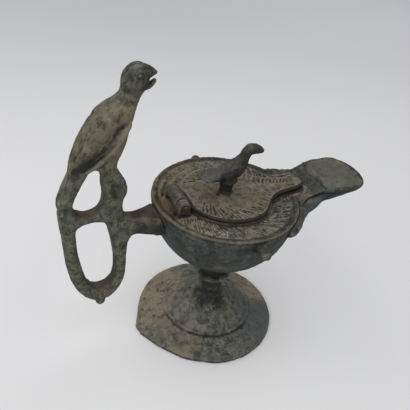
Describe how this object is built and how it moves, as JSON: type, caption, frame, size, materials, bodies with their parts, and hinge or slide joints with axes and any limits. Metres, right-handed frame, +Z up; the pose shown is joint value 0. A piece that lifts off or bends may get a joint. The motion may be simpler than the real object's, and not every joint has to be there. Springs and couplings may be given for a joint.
{
  "type": "oil lamp",
  "caption": "Footed bronze oil lamp: round bowl with leaf-shaped wick pan, hinged teardrop lid topped by a small bird, and a stirrup handle carrying a larger bird.",
  "frame": {"origin": "middle of the foot on the table plane, within a millimetre or so of the bounding box's bottom centre", "axes": "+Z up, +X along the spout away from the handle, +Y to the lamp's left"},
  "size_m": [0.1903, 0.0985, 0.1744],
  "materials": {
    "patinated_bronze": "dull dark olive-grey patina on cast bronze",
    "earthy_bronze": "dull bronze with tan earthy deposit",
    "dark_bronze": "dull near-black bronze",
    "rusted_iron": "rusty, rough"
  },
  "bodies": {
    "lamp": {"reservoir": "patinated_bronze", "pedestal_foot": "patinated_bronze", "bird_handle": "patinated_bronze", "hinge_pin": "rusted_iron"},
    "lid": {"lid": "earthy_bronze", "lid_bird": "dark_bronze"}
  },
  "joints": [
    {"name": "lid_hinge", "type": "hinge", "parent": "lamp", "child": "lid", "pos_m": [-0.0306, 0, 0.09825], "axis": [0, -1, 0], "range_deg": [0, 75]}
  ]
}
